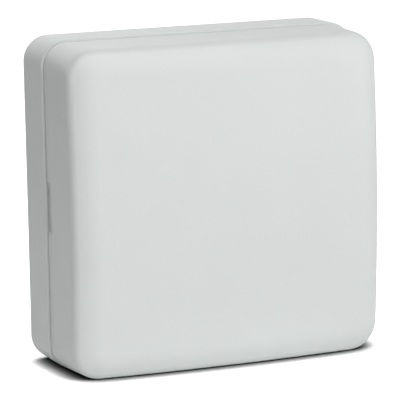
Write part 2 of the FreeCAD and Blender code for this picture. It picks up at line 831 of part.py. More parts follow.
def gull_leads(x, z, half_body, count, pitch, quarter_turns):
    """One side's row of bent leads; quarter_turns picks the side of the chip."""
    foot_y = board_face_y
    knee_y = board_face_y - chip_stand - lead_drop
    out = half_body + lead_reach
    step = out - lead_foot
    profile = [
        (half_body, knee_y), (half_body, knee_y - lead_thickness), (step, knee_y - lead_thickness),
        (step + lead_thickness, foot_y - lead_thickness), (out, foot_y - lead_thickness), (out, foot_y),
        (step, foot_y), (step - lead_thickness, knee_y),
    ]
    leads = []
    for i in range(count):
        offset = (i - (count - 1) / 2) * pitch - lead_width / 2
        corners = [V(across, y, offset) for across, y in profile]
        lead = Part.Face(Part.makePolygon(corners + corners[:1])).extrude(V(0, 0, lead_width))
        leads.append(turned(lead, V(0, 1, 0), 90 * quarter_turns, V(x, 0, z)))
    return leads


def chips():
    body = on_board(
        controller_x, controller_z, controller_width, controller_width, controller_height, chip_stand
    )
    keep("controller_body", body.makeChamfer(chip_stand, body.Edges))
    leads = []
    for side in range(4):
        leads += gull_leads(
            controller_x, controller_z, controller_width / 2, controller_leads_per_side,
            controller_lead_pitch, side,
        )
    keep("controller_leads", *leads)
    body = on_board(
        amplifier_x, amplifier_z, amplifier_width, amplifier_length, amplifier_height, chip_stand
    )
    keep("amplifier_body", body.makeChamfer(chip_stand, body.Edges))
    leads = []
    for side in (0, 2):
        leads += gull_leads(
            amplifier_x, amplifier_z, amplifier_width / 2, amplifier_leads_per_side,
            amplifier_lead_pitch, side,
        )
    keep("amplifier_leads", *leads)


def small_parts():
    crystal = on_board(
        crystal_x, crystal_z, crystal_width, crystal_length, crystal_height, 0, crystal_corner_radius
    )
    top = edges_at_y(crystal, board_face_y - crystal_height)
    keep("crystal_can", crystal.makeFillet(can_edge_radius, top))
    cans, bases = [], []
    for i in range(2):
        z = can_z + i * can_pitch
        base = on_board(can_x, z, can_base_width, can_base_width, can_base_height)
        right_edges = [e for e in edges_along_y(base) if e.BoundBox.XMin > can_x]
        bases.append(base.makeChamfer(can_base_chamfer, right_edges))
        foot = board_face_y - can_base_height
        can = rod(can_x, z, can_radius, foot - can_height, foot)
        cans.append(can.makeFillet(can_edge_radius, edges_at_y(can, foot - can_height)))
    keep("capacitor_cans", *cans)
    keep("capacitor_bases", *bases)
    rows = (
        ("chip_resistors", resistor_x, resistor_z, resistor_count, resistor_height),
        ("chip_capacitors", capacitor_x, capacitor_z, capacitor_count, capacitor_height),
    )
    for name, x, z, count, height in rows:
        keep(name, *[on_board(x + i * chip_pitch, z, chip_width, chip_length, height) for i in range(count)])


def test_header():
    length = pin_count * pin_pitch
    block = on_board(header_x, header_z, length, pin_pitch, header_height)
    columns = [header_x + (i - (pin_count - 1) / 2) * pin_pitch for i in range(pin_count)]
    hole_width = pin_width + 2 * snug_fit
    holes = [on_board(x, header_z, hole_width, hole_width, header_height) for x in columns]
    keep("test_header", block.cut(holes))
    pin_height = header_height + pin_stand
    pins = [on_board(x, header_z, pin_width, pin_width, pin_height) for x in columns]
    keep("test_header_pins", *pins)
    jumper_x = (columns[0] + columns[1]) / 2
    seat = header_height + jumper_seat
    width = 2 * pin_pitch - jumper_hole_fit
    jumper = on_board(jumper_x, header_z, width, pin_pitch, jumper_height, seat)
    tab = on_board(
        jumper_x, header_z, jumper_tab_width, pin_pitch, jumper_tab_height, seat + jumper_height
    )
    hole_width = pin_width + 2 * jumper_hole_fit
    depth = jumper_height - jumper_wall
    holes = [on_board(x, header_z, hole_width, hole_width, depth, seat) for x in columns[:2]]
    keep("test_jumper", jumper.fuse(tab).removeSplitter().cut(holes))


def build():
    rear_shell()
    front_cover()
    circuit_board()
    board_screws()
    cell()
    cell_holder()
    cell_contacts()
    microphone()
    tamper_switch(
        "wall_tamper", wall_tamper_x, wall_tamper_z, board_back_y, 1, wall_tamper_height,
        wall_y + wall_tamper_travel, 0,
    )
    tamper_switch(
        "cover_tamper", cover_tamper_x, cover_tamper_z, board_face_y, -1, cover_tamper_height,
        board_face_y - cover_tamper_height - cover_tamper_stand, cover_tamper_travel,
    )
    enrol_switch()
    sensitivity_switch()
    for i, name in enumerate(("green_led", "amber_led", "red_led")):
        lamp(name, led_x + (i - 2) * led_pitch)
    radio()
    chips()
    small_parts()
    test_header()


build()
os.makedirs("parts", exist_ok=True)
for name, shape in parts.items():
    whole = shape.isValid() and all(solid.isClosed() for solid in shape.Solids)
    print(f"{name}: {len(shape.Solids)} solid(s), valid {whole}, {shape.Volume:.1f} mm3")
    shape.exportStep(f"parts/{name}.step")
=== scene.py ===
"""A square wall-mounted sensor, dressed for a product photograph: materials, details, camera and studio.

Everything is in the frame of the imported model: +X right, +Y back, +Z up. Details are drawn in millimetres.
"""

import json
import math

import bmesh
import bpy
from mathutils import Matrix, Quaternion, Vector


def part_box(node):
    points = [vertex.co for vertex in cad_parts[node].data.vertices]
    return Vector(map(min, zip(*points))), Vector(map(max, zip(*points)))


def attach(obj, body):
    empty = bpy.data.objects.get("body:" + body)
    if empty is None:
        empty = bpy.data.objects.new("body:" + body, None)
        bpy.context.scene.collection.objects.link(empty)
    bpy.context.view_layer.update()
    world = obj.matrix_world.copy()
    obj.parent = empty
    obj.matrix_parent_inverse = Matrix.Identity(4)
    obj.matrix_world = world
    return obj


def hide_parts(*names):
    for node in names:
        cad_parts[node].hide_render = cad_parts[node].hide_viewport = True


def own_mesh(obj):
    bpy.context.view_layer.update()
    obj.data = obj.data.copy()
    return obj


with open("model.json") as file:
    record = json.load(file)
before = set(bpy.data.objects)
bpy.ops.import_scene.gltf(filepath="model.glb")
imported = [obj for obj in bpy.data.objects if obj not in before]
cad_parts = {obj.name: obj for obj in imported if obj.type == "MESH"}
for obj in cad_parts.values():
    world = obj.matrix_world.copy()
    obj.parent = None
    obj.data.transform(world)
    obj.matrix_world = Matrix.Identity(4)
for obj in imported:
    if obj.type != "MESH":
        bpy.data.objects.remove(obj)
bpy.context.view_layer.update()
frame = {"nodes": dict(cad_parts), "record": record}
nodes = frame["nodes"]
MM = 0.001

# Soft noise seldom leaves this range
NOISE_LOW, NOISE_HIGH = 0.3, 0.7


# Materials

class Surface:
    """A material with one Principled shader, built up node by node. Lengths are in metres."""

    def __init__(self, name, roughness, **sockets):
        self.name = name
        self.material = bpy.data.materials.new(name)
        self.material.use_nodes = True
        self.tree = self.material.node_tree
        self.shader = self.tree.nodes["Principled BSDF"]
        self.shader.inputs["Roughness"].default_value = roughness
        for key, value in sockets.items():
            self.shader.inputs[key.replace("_", " ")].default_value = value
        self.place = self.tree.nodes.new("ShaderNodeTexCoord").outputs["Object"]
        self.normal = None

    def node(self, kind, *inputs, **settings):
        """Adds a node. Each input is a socket to link, a value, or None to leave it alone."""
        new = self.tree.nodes.new("ShaderNode" + kind)
        for key, value in settings.items():
            setattr(new, key, value)
        for socket, value in zip(new.inputs, inputs):
            if isinstance(value, bpy.types.NodeSocket):
                self.tree.links.new(value, socket)
            elif value is not None:
                socket.default_value = value
        return new

    def feed(self, name, output):
        self.tree.links.new(output, self.shader.inputs[name])

    def math(self, operation, first, second=None):
        return self.node("Math", first, second, operation=operation).outputs[0]

    def noise(self, size, detail=2.0, stretch=None, distortion=0.0):
        """Soft noise with patches about as large as size, drawn out along each axis by stretch."""
        place = self.place
        if stretch:
            place = self.node("Mapping", place, None, None, [1 / factor for factor in stretch]).outputs[0]
        new = self.node("TexNoise", place)
        for key, value in (("Scale", 1 / size), ("Detail", detail), ("Distortion", distortion)):
            new.inputs[key].default_value = value
        return new.outputs[0]

    def cells(self, size):
        """The distance from scattered points about as far apart as size."""
        new = self.node("TexVoronoi", self.place)
        new.inputs["Scale"].default_value = 1 / size
        return new.outputs[0]

    def along(self, axis):
        """The place along one axis."""
        return self.node("SeparateXYZ", self.place).outputs["XYZ".index(axis)]

    def wave(self, axis, pitch):
        """A sine wave along one axis, from -1 to 1."""
        return self.math("SINE", self.math("MULTIPLY", self.along(axis), 2 * math.pi / pitch))

    def faces(self, axis):
        """How squarely the surface faces along an axis, from -1 to 1."""
        normal = self.tree.nodes.new("ShaderNodeNewGeometry").outputs["Normal"]
        return self.node("SeparateXYZ", normal).outputs["XYZ".index(axis)]

    def span(self, value, low, high, to_low=0.0, to_high=1.0):
        """Maps the range from low to high onto another, and stops at its ends."""
        return self.node("MapRange", value, low, high, to_low, to_high).outputs[0]

    def spread(self, noise, to_low=0.0, to_high=1.0):
        """Maps soft noise onto a whole range."""
        return self.span(noise, NOISE_LOW, NOISE_HIGH, to_low, to_high)

    def mix(self, factor, first, second):
        """A colour between two colours, each a triple or a socket."""
        new = self.node("Mix", data_type="RGBA")
        for index, value in ((0, factor), (6, first), (7, second)):
            socket = new.inputs[index]
            if isinstance(value, bpy.types.NodeSocket):
                self.tree.links.new(value, socket)
            elif isinstance(value, (int, float)):
                socket.default_value = value
            else:
                socket.default_value = (*value, 1)
        return new.outputs[2]

    def bump(self, height, distance):
        """Raises the surface by a height map. Later calls add to earlier ones."""
        new = self.node("Bump")
        new.inputs["Distance"].default_value = distance
        self.tree.links.new(height, new.inputs["Height"])
        if self.normal is not None:
            self.tree.links.new(self.normal, new.inputs["Normal"])
        self.normal = new.outputs[0]
        self.feed("Normal", self.normal)


def toned(colour, factor):
    return tuple(min(1.0, c * factor) for c in colour)


def moulded(name, colour, roughness=0.5, grain=0.3 * MM, relief=0.004 * MM, variation=0.02, **sockets):
    """Moulded plastic: a fine eroded texture, a slow drift of colour, and patchy gloss."""
    skin = Surface(name, roughness, **sockets)
    drift_size, gloss_size, sink_size = 18 * MM, 6 * MM, 30 * MM
    drift = skin.spread(skin.noise(drift_size))
    tone = skin.mix(drift, toned(colour, 1 - variation / 2), toned(colour, 1 + variation / 2))
    fine = skin.noise(grain, 3)
    pits = skin.span(fine, 0.45, 0.75, 0, 0.5)
    skin.feed("Base Color", skin.mix(pits, tone, toned(colour, 1 - 2 * variation)))
    skin.feed("Roughness", skin.spread(skin.noise(gloss_size, 3), roughness * 0.92, roughness * 1.08))
    skin.bump(skin.noise(sink_size, 1), 5 * relief)
    skin.bump(skin.cells(grain * 0.7), relief * 0.5)
    skin.bump(fine, relief)
    return skin


def metal(name, colour, roughness, drawn=(1, 1, 1), scratch=0.06 * MM, relief=0.0008 * MM, dulling=0.12):
    """Bare or plated metal: fine lines along the way it was drawn, and slightly stained."""
    skin = Surface(name, roughness, Metallic=1.0)
    stain_size = 2.5 * MM
    stain = skin.noise(stain_size, 3, distortion=0.6)
    lines = skin.noise(scratch, 3, drawn)
    skin.feed("Base Color", skin.mix(skin.span(stain, 0.35, 0.7), colour, toned(colour, 1 - dulling)))
    dullness = skin.math("ADD", lines, stain)
    skin.feed("Roughness", skin.span(dullness, 0.7, 1.3, roughness * 0.75, roughness * 1.3))
    skin.bump(lines, relief)
    return skin


def laminate(name, mask, core):
    """Circuit board: glossy solder mask over glass cloth, with the bare core showing at its edges."""
    skin = Surface(name, 0.3, Coat_Weight=0.4, Coat_Roughness=0.12)
    cloth_pitch, layer_pitch = 0.42 * MM, 0.2 * MM
    cloud_size, gloss_size, ripple_size = 7 * MM, 1.5 * MM, 3 * MM
    threads = skin.math("MULTIPLY", *[skin.wave(axis, cloth_pitch) for axis in "XZ"])
    cloudy = skin.mix(skin.spread(skin.noise(cloud_size, 3)), toned(mask, 0.88), toned(mask, 1.12))
    clothed = skin.mix(skin.span(threads, -1, 1, 0, 0.35), cloudy, toned(mask, 1.35))
    layers = skin.span(skin.wave("Y", layer_pitch), -1, 1)
    edge = skin.mix(layers, core, toned(core, 0.75))
    flat = skin.span(skin.math("ABSOLUTE", skin.faces("Y")), 0.6, 0.8)
    skin.feed("Base Color", skin.mix(flat, edge, clothed))
    skin.feed("Roughness", skin.spread(skin.noise(gloss_size, 3), 0.24, 0.38))
    skin.bump(threads, 0.002 * MM)
    skin.bump(skin.noise(ripple_size, 2), 0.01 * MM)
    return skin


def lens(name, colour):
    """The clear tinted resin of a lamp, with a little haze."""
    skin = Surface(name, 0.06, Transmission_Weight=0.92, IOR=1.54)
    cloud_size, haze_size, ripple_size = 1.2 * MM, 0.5 * MM, 0.8 * MM
    cloudy = skin.spread(skin.noise(cloud_size))
    skin.feed("Base Color", skin.mix(cloudy, toned(colour, 0.9), toned(colour, 1.1)))
    skin.feed("Roughness", skin.spread(skin.noise(haze_size, 3), 0.04, 0.12))
    skin.bump(skin.noise(ripple_size, 1), 0.003 * MM)
    return skin


def felted(name, colour):
    """Pressed felt: short fibres, dull and soft."""
    skin = Surface(name, 0.95, Sheen_Weight=0.6, Sheen_Roughness=0.4)
    fibre_size = 0.12 * MM
    fibres = skin.noise(fibre_size, 4, (1, 3, 1), 2.0)
    skin.feed("Base Color", skin.mix(skin.span(fibres, 0.35, 0.65), toned(colour, 0.6), toned(colour, 2.2)))
    skin.feed("Roughness", skin.spread(fibres, 0.85, 1.0))
    skin.bump(fibres, 0.06 * MM)
    return skin


def woven(name, colour, pitch):
    """Fine gauze in a plane across X: crossed threads, with the openings between them painted darker as
    painted shade seen through them.
    """
    skin = Surface(name, 0.8)
    gloss_size = 0.3 * MM
    threads = skin.math("MAXIMUM", *[skin.wave(axis, pitch) for axis in "YZ"])
    # Painted shade: the colour between the threads is darker, standing in for the shade seen through the
    # openings
    skin.feed("Base Color", skin.mix(skin.span(threads, -0.2, 0.6), toned(colour, 0.55), colour))
    skin.feed("Roughness", skin.spread(skin.noise(gloss_size, 3), 0.7, 0.9))
    skin.bump(threads, 0.02 * MM)
    return skin


def sleeved(name, sleeve, steel):
    """The cell's can: a shrunk sleeve that is turned in a little over the bare steel ends."""
    skin = moulded(name, sleeve, 0.28, 0.5 * MM, 0.003 * MM, 0.05, Coat_Weight=0.3)
    low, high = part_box("cell_can")
    middle = (low + high) / 2
    centres = {"Y": middle.y, "Z": middle.z}
    across = [skin.math("SUBTRACT", skin.along(axis), centres[axis]) for axis in "YZ"]
    radius = skin.math("SQRT", skin.math("ADD", *[skin.math("MULTIPLY", a, a) for a in across]))
    lip, lip_edge = 1.9 * MM, 0.15 * MM
    turned_in = (high.z - low.z) / 2 - lip
    is_end = skin.span(skin.math("ABSOLUTE", skin.faces("X")), 0.85, 0.95)
    bare = skin.math("MULTIPLY", is_end, skin.span(radius, turned_in, turned_in - lip_edge))
    coloured = skin.shader.inputs["Base Color"].links[0].from_socket
    gloss = skin.shader.inputs["Roughness"].links[0].from_socket
    skin.feed("Base Color", skin.mix(bare, coloured, steel))
    skin.feed("Metallic", bare)
    skin.feed("Roughness", skin.math("ADD", gloss, skin.math("MULTIPLY", bare, 0.08)))
    skin.bump(bare, -0.08 * MM)
    return skin


def filmed(name, film, body):
    """A chip resistor: dark glaze on top of a pale ceramic body."""
    skin = Surface(name, 0.35)
    cloud_size, gloss_size, ripple_size = 0.3 * MM, 0.4 * MM, 0.2 * MM
    top = skin.span(skin.faces("Y"), -0.6, -0.8)
    pale = skin.mix(skin.spread(skin.noise(cloud_size, 3)), toned(body, 0.92), body)
    skin.feed("Base Color", skin.mix(top, pale, film))
    skin.feed("Roughness", skin.spread(skin.noise(gloss_size, 3), 0.28, 0.5))
    skin.bump(skin.noise(ripple_size, 3), 0.004 * MM)
    return skin


PALE_PLASTIC = (0.700, 0.724, 0.714)
BLACK = (0.022, 0.022, 0.024)
TIN = (0.72, 0.72, 0.70)
STEEL = (0.66, 0.66, 0.65)

surfaces = [
    moulded("case_plastic", PALE_PLASTIC, 0.52),
    moulded("cover_plastic", PALE_PLASTIC, 0.5),
    laminate("board_laminate", (0.012, 0.105, 0.045), (0.42, 0.40, 0.22)),
    laminate("radio_laminate", (0.012, 0.03, 0.10), (0.40, 0.37, 0.22)),
    metal("screw_steel", STEEL, 0.28, (1, 6, 1)),
    metal("contact_nickel", (0.74, 0.72, 0.67), 0.2, (1, 1, 8)),
    sleeved("cell_sleeve", (0.035, 0.10, 0.24), STEEL),
    metal("cell_steel", (0.70, 0.69, 0.67), 0.22),
    moulded("seal_plastic", (0.035, 0.035, 0.04), 0.45),
    moulded("holder_plastic", BLACK, 0.42, 0.25 * MM, 0.006 * MM, 0.1),
    moulded("switch_plastic", (0.028, 0.028, 0.03), 0.4, 0.2 * MM, 0.004 * MM, 0.1),
    moulded("plunger_plastic", (0.75, 0.73, 0.68), 0.4, 0.2 * MM),
    moulded("button_plastic", (0.52, 0.035, 0.03), 0.38, 0.2 * MM, 0.004 * MM, 0.05),
    moulded("boot_rubber", (0.024, 0.024, 0.025), 0.78, 0.15 * MM, 0.01 * MM, 0.15),
    felted("felt", (0.018, 0.018, 0.02)),
    metal("capsule_aluminium", (0.78, 0.78, 0.79), 0.25, (8, 1, 1)),
    metal("capacitor_aluminium", (0.80, 0.80, 0.81), 0.3, (1, 8, 1)),
    metal("spring_steel", (0.58, 0.58, 0.57), 0.25),
    metal("tinned_lead", TIN, 0.24, (1, 1, 1), 0.15 * MM, 0.003 * MM),
    metal("gold_pin", (0.83, 0.62, 0.27), 0.2, (1, 8, 1)),
    metal("antenna_wire", (0.75, 0.40, 0.22), 0.22),
    moulded("chip_resin", BLACK, 0.5, 0.12 * MM, 0.006 * MM, 0.12),
    metal("shield_tin", TIN, 0.3, (1, 1, 10), 0.08 * MM, 0.0015 * MM),
    metal("crystal_steel", (0.68, 0.68, 0.67), 0.24, (1, 1, 8)),
    filmed("resistor_ceramic", (0.025, 0.025, 0.028), (0.75, 0.75, 0.72)),
    moulded("capacitor_ceramic", (0.40, 0.27, 0.155), 0.4, 0.2 * MM, 0.004 * MM, 0.08),
    lens("lamp_green", (0.10, 0.75, 0.22)),
    lens("lamp_amber", (0.95, 0.55, 0.08)),
    lens("lamp_red", (0.85, 0.07, 0.05)),
    moulded("jumper_plastic", (0.025, 0.09, 0.40), 0.3, 0.3 * MM, 0.004 * MM, 0.05),
]
by_slot = {surface.name: surface.material for surface in surfaces}
for row in frame["record"]["subparts"]:
    for slot in nodes[row["node"]].material_slots:
        slot.material = by_slot[row["material_slot"]]

mark_ink = moulded("mark_ink", (0.82, 0.82, 0.80), 0.6, 0.1 * MM, 0.003 * MM, 0.05).material
gauze = woven("gauze", (0.74, 0.76, 0.75), 0.16 * MM).material
track_mask = moulded(
    "track_mask", (0.022, 0.17, 0.075), 0.3, 0.8 * MM, 0.003 * MM, 0.1, Coat_Weight=0.4
).material


# Small details on the board: every place below is an x and a z on the board, in millimetres

# The signs of x and z at the corners of a rectangle, in order
CORNERS = ((-1, -1), (1, -1), (1, 1), (-1, 1))
TURNED_SEGMENTS = 24
WIRE_SEGMENTS = 12
SHARP_ANGLE = math.radians(35)


def middle_of(node):
    """The middle of a node's box, in millimetres."""
    low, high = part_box(node)
    return (low + high) / 2 / MM


def angles_round(segments):
    """Evenly spaced angles, once round a circle."""
    return [2 * math.pi * i / segments for i in range(segments)]


def bends(points):
    """Each point of a path, the way halfway through its bend, and how much the bend narrows the path."""
    points = [Vector(p) for p in points]
    ways = [(b - a).normalized() for a, b in zip(points, points[1:])]
    for point, before, after in zip(points, ways[:1] + ways, ways + ways[-1:]):
        way = (before + after).normalized()
        yield point, way, way.dot(after)


class Piece:
    """A mesh in millimetres, made of closed shapes, that becomes one piece on a body."""

    def __init__(self):
        self.mesh = bmesh.new()

    def solid(self, rings, closed=False):
        """A closed skin through rings of points, with a cap at each end unless the rings come back round."""
        rows = [[self.mesh.verts.new(p) for p in ring] for ring in rings]
        pairs = list(zip(rows, rows[1:] + rows[:1])) if closed else list(zip(rows, rows[1:]))
        for low, high in pairs:
            for i in range(len(low)):
                j = (i + 1) % len(low)
                self.mesh.faces.new((low[i], low[j], high[j], high[i]))
        if not closed:
            self.mesh.faces.new(rows[0][::-1])
            self.mesh.faces.new(rows[-1])

    def prism(self, outline, y0, y1):
        """A block whose outline in x and z runs from one depth to another."""
        self.solid([[(x, y, z) for x, z in outline] for y in (y0, y1)])

    def block(self, x0, x1, y0, y1, z0, z1):
        self.prism([(x0, z0), (x1, z0), (x1, z1), (x0, z1)], y0, y1)

    def slab(self, x, z, width, height, y0, y1):
        """A block given by its middle and its size."""
        self.block(x - width / 2, x + width / 2, y0, y1, z - height / 2, z + height / 2)

    def mound(self, x, z, width, height, y0, y1, slope=0.3):
        """A low block of solder that narrows towards its top at y1."""
        levels = ((0, y0), (0.1 * slope, y0 + 0.5 * (y1 - y0)), (slope, y1))
        halves = [(width / 2 * (1 - drop), height / 2 * (1 - drop), y) for drop, y in levels]
        self.solid([[(x + sx * a, y, z + sz * b) for sx, sz in CORNERS] for a, b, y in halves])

    def turned(self, x, z, profile, closed=False):
        """A body turned about a line along Y through x and z, from a profile of (radius, y) pairs."""
        angles = angles_round(TURNED_SEGMENTS)
        self.solid(
            [[(x + r * math.cos(a), y, z + r * math.sin(a)) for a in angles] for r, y in profile], closed
        )

    def ring(self, x, z, inner, outer, y0, y1):
        """A flat ring, or a short pipe."""
        self.turned(x, z, [(outer, y0), (outer, y1), (inner, y1), (inner, y0)], closed=True)

    def outline(self, x, z, width, height, y0, y1, line):
        """A line round a rectangle."""
        section = [(0, y0), (0, y1), (line, y1), (line, y0)]
        halves = [(width / 2 - inset, height / 2 - inset, y) for inset, y in section]
        self.solid([[(x + sx * a, y, z + sz * b) for sx, sz in CORNERS] for a, b, y in halves], closed=True)

    def strip(self, points, width, y0, y1):
        """A flat strip of even width along points in x and z."""
        left, right = [], []
        for point, way, narrowing in bends(points):
            across = Vector((-way.y, way.x)) * (width / 2 / narrowing)
            left.append(tuple(point + across))
            right.append(tuple(point - across))
        self.prism(left + right[::-1], y0, y1)

    def wire(self, points, radius):
        """A round wire through points in space that all share one x."""
        side = Vector((1, 0, 0))
        rings = []
        for point, way, narrowing in bends(points):
            up = way.cross(side) / narrowing
            circle = [side * math.cos(a) + up * math.sin(a) for a in angles_round(WIRE_SEGMENTS)]
            rings.append([tuple(point + spoke * radius) for spoke in circle])
        self.solid(rings)

    def finish(self, name, material, body="base"):
        """Turns the mesh into a piece in metres, which rides on a body."""
        bmesh.ops.recalc_face_normals(self.mesh, faces=self.mesh.faces)
        bmesh.ops.scale(self.mesh, vec=(MM, MM, MM), verts=self.mesh.verts)
        data = bpy.data.meshes.new(name)
        self.mesh.to_mesh(data)
        self.mesh.free()
        data.materials.append(material)
        piece = bpy.data.objects.new(name, data)
        bpy.context.scene.collection.objects.link(piece)
        data.shade_smooth()
        data.set_sharp_from_angle(angle=SHARP_ANGLE)
        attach(piece, body)
        return piece


def knees(points):
    """Cuts each corner of a route, by less than half of the runs beside it."""
    longest, share = 1.2, 0.49
    points = [Vector(p) for p in points]
    route = [points[0]]
    for before, corner, after in zip(points, points[1:], points[2:]):
        reach = min(longest, (corner - before).length * share, (after - corner).length * share)
        route.append(corner + (before - corner).normalized() * reach)
        route.append(corner + (after - corner).normalized() * reach)
    return route + [points[-1]]


# Depths: the board's two faces, where small pieces end inside the board, and how far out they reach
board_low, board_high = (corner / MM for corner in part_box("circuit_board"))
face, back = board_low.y, board_high.y
sunk = face + 0.02
track_face = face - 0.035
via_face = face - 0.0455
pad_face = face - 0.06
ink_face = face - 0.075
solder_face = face - 0.16
# Each track or printed line lies this much higher than the one before, so that no two faces coincide
LAYER_STEP = 0.0004
CHIP_PITCH = 4
PIN_PITCH = 2.54
CONTROLLER_PITCH = 0.8
AMPLIFIER_PITCH = 1.27

controller = middle_of("controller_body")
amplifier = middle_of("amplifier_body")
resistors = middle_of("chip_resistors")
capacitors = middle_of("chip_capacitors")
radio = middle_of("radio_board")
crystal = middle_of("crystal_can")
header = middle_of("test_header")
selector = middle_of("sensitivity_switch_body")
enrol = middle_of("enrol_switch_body")
tamper = middle_of("cover_tamper_housing")
holder_low, holder_high = (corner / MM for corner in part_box("cell_holder"))
resistor_xs = [resistors.x + CHIP_PITCH * (i - 3.5) for i in range(8)]
capacitor_xs = [capacitors.x + CHIP_PITCH * (i - 3) for i in range(7)]
lamp_places = [middle_of(name) for name in ("green_led", "amber_led", "red_led")]
can_places = [(-33, 21), (-33, 28)]
screw_places = [(x, z) for x in (-34, 34) for z in (10, 76)]
pin_places = [(header.x + i * PIN_PITCH, header.z) for i in (-1, 0, 1)]
microphone_places = [(-31.4, 43 + side * PIN_PITCH / 2) for side in (-1, 1)]
antenna_foot = (31.4, 45.0)
crystal_feet = [(crystal.x - 1.2, 40.3), (crystal.x + 1.2, 40.3)]
controller_steps = [CONTROLLER_PITCH * (i - 3.5) for i in range(8)]
amplifier_steps = [AMPLIFIER_PITCH * (i - 1.5) for i in range(4)]

# Tracks under the solder mask: a width, then the places that the track passes
routes = [
    (0.30, [(-23.3, 43.865), (-29.6, 43.865), (-31.4, 44.27)]),
    (0.30, [(-23.3, 42.595), (-29.2, 42.595), (-31.4, 41.73)]),
    (0.25, [(-23.3, 45.135), (-25.6, 45.135), (-26.4, 46.4)]),
    (0.25, [(-23.3, 46.405), (-24.6, 46.405), (-24.6, 48.4)]),
    (0.25, [(-16.7, 43.865), (-6.5, 43.865), (-5.2, 45.2), (-2.0, 45.2)]),
    (0.25, [(-16.7, 45.135), (-7.2, 45.135), (-6.3, 46.0), (-2.0, 46.0)]),
    (0.25, [(-16.7, 46.405), (-7.9, 46.405), (-7.5, 46.8), (-2.0, 46.8)]),
    (0.30, [(-16.7, 42.595), (-13.0, 42.595), (-13.0, 38.7)]),
    (0.30, [(-9.0, 38.7), (-9.0, 41.6)]),
    (0.25, [(0.2, 43.1), (0.2, 41.6), (-5.0, 41.6), (-5.0, 38.7)]),
    (0.25, [(1.0, 43.1), (1.0, 40.6), (-1.0, 40.6), (-1.0, 38.7)]),
    (0.25, [(2.6, 43.1), (2.6, 40.4), (3.0, 39.8), (3.0, 38.7)]),
    (0.25, [(4.2, 43.1), (4.2, 40.6), (7.0, 40.6), (7.0, 38.7)]),
    (0.25, [(5.0, 43.1), (5.0, 41.6), (11.0, 41.6), (11.0, 38.7)]),
    (0.25, [(8.0, 46.0), (13.2, 46.0), (13.2, 40.3), (crystal_feet[0][0], 40.3)]),
    (0.25, [(8.0, 45.2), (12.2, 45.2), (12.2, 39.1), (18.0, 39.1), crystal_feet[1]]),
    (0.25, [(8.0, 47.6), (10.8, 47.6)]),
    (0.25, [(8.0, 48.4), (12.2, 48.4)]),
    (0.25, [(8.0, 49.2), (10.8, 49.2)]),
    (0.25, [(8.0, 50.0), (12.2, 50.0)]),
    (0.25, [(0.2, 52.9), (0.2, 53.3), (-4.0, 53.3), (-4.0, 53.8)]),
    (0.25, [(1.0, 52.9), (0.6, 53.3), (0.0, 53.8)]),
    (0.25, [(3.4, 52.9), (4.0, 53.8)]),
    (0.25, [(5.8, 52.9), (5.8, 53.2), (8.0, 53.2), (8.0, 53.8)]),
    (0.30, [(-4.0, 56.4), (-4.0, 59.0), (-9.4, 59.0)]),
    (0.30, [(0.0, 56.4), (0.0, 65.0), (-9.4, 65.0)]),
    (0.30, [(4.0, 56.4), (4.0, 61.4)]),
    (0.30, [(8.0, 56.4), (8.0, 70.6), (10.4, 72.8)]),
    (0.30, [(12.0, 56.4), (12.0, 60.4), (14.0, 62.4), (14.0, 70.6), (16.6, 73.2)]),
    (0.30, [(16.0, 56.4), (16.0, 59.6), (17.2, 60.8), (17.2, 62.7)]),
    (0.30, [(20.0, 56.4), (20.0, 62.7)]),
    (0.30, [(24.0, 56.4), (24.0, 59.0), (27.0, 62.0), (27.0, 71.0), (25.2, 73.0)]),
    (1.40, [(-29.4, 21.0), (-19.2, 21.0)]),
    (1.40, [(-29.4, 28.0), (-19.2, 28.0)]),
    (0.80, [(-26.0, 28.0), (-26.0, 37.6)]),
    (0.30, [(-26.96, 14.0), (-22.6, 14.0), (-22.6, 19.4)]),
    (0.80, [(24.4, 21.75), (28.8, 21.75)]),
    (0.30, [(24.4, 26.25), (28.8, 26.25)]),
    (0.30, [(24.4, 31.0), (27.4, 31.0), (29.5, 33.1), (29.5, 35.8)]),
    (0.30, [(32.0, 35.8), (32.0, 33.4), (37.4, 28.0), (37.4, 21.75), (36.4, 21.75)]),
    (0.30, [(34.5, 41.2), (34.5, 43.4), (33.0, 44.9), (31.4, 45.0)]),
    (1.20, [(31.4, 45.0), (26.6, 45.0)]),
]
# Five more from the controller's left side to the foot of the radio board
RADIO_PITCH = 2
for i in range(5):
    x, z = -20.0 + RADIO_PITCH * i, 47.6 + CONTROLLER_PITCH * i
    routes.append((0.25, [(-2.0, z), (x, z), (x, 54.6)]))

# Vias: beside the parts, then in rows along the sides, the foot and the top of the board
via_places = [
    (-26.4, 46.4), (-24.6, 48.4), (-9.0, 41.6), (10.8, 47.6), (12.2, 48.4), (10.8, 49.2), (12.2, 50.0),
    (4.0, 61.4), (-26.0, 37.6), (-22.6, 19.4), (26.6, 44.6), (26.6, 45.4), (12.0, 52.9), (16.0, 53.4),
    (20.0, 53.2), (24.0, 52.9), (-16.0, 40.4), (-6.4, 50.6), (22.6, 41.6), (24.0, 48.6), (29.0, 50.0),
    (-29.6, 52.6), (-31.6, 56.0),
]
via_places += [(side * 37.7, 20.0 + 6.6 * i) for side in (-1, 1) for i in range(8)]
via_places += [(side * (10.0 + 5.6 * i), z) for side in (-1, 1) for i in range(4) for z in (6.3, 79.7)]
via_hole, via_rim = 0.16, 0.42
tracks = Piece()
for i, (width, places) in enumerate(routes):
    tracks.strip(knees(places), width, track_face - i * LAYER_STEP, sunk)
for x, z in via_places:
    tracks.ring(x, z, via_hole, via_rim, via_face, sunk)
tracks.finish("tracks", track_mask)

